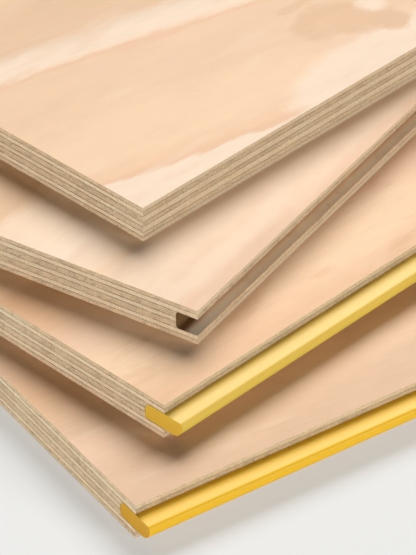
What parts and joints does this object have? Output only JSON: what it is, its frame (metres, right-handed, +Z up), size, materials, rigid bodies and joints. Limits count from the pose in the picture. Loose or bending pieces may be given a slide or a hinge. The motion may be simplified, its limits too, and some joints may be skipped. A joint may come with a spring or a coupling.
{
  "type": "stack of plywood sheets",
  "caption": "Fanned stack of flooring plywood sheets with layered veneer edges, open grooves and yellow plastic tongues along the long edges.",
  "frame": {"origin": "middle of the bottom sheet's underside", "axes": "+X along the bottom sheet's long edges, +Y from its tongue edge to its groove edge, +Z up"},
  "size_m": [2.8398, 2.1337, 0.076],
  "materials": {
    "face_wood": "sanded, unfinished",
    "long_wood": "sawn edge",
    "cross_wood": "sawn edge",
    "yellow_tongue": "satin",
    "golden_tongue": "satin"
  },
  "bodies": {
    "root": {"top_sheet_face_veneer": "face_wood", "top_sheet_upper_cross_veneer": "cross_wood", "top_sheet_upper_long_veneer": "long_wood", "top_sheet_centre_cross_veneer": "cross_wood", "top_sheet_lower_long_veneer": "long_wood", "top_sheet_lower_cross_veneer": "cross_wood", "top_sheet_back_veneer": "face_wood", "second_sheet_face_veneer": "face_wood", "second_sheet_upper_cross_veneer": "cross_wood", "second_sheet_upper_long_veneer": "long_wood", "second_sheet_centre_cross_veneer": "cross_wood", "second_sheet_lower_long_veneer": "long_wood", "second_sheet_lower_cross_veneer": "cross_wood", "second_sheet_back_veneer": "face_wood", "third_sheet_face_veneer": "face_wood", "third_sheet_upper_cross_veneer": "cross_wood", "third_sheet_upper_long_veneer": "long_wood", "third_sheet_centre_cross_veneer": "cross_wood", "third_sheet_lower_long_veneer": "long_wood", "third_sheet_lower_cross_veneer": "cross_wood", "third_sheet_back_veneer": "face_wood", "bottom_sheet_face_veneer": "face_wood", "bottom_sheet_upper_cross_veneer": "cross_wood", "bottom_sheet_upper_long_veneer": "long_wood", "bottom_sheet_centre_cross_veneer": "cross_wood", "bottom_sheet_lower_long_veneer": "long_wood", "bottom_sheet_lower_cross_veneer": "cross_wood", "bottom_sheet_back_veneer": "face_wood", "second_sheet_tongue": "yellow_tongue", "third_sheet_tongue": "yellow_tongue", "bottom_sheet_tongue": "golden_tongue"}
  },
  "joints": []
}
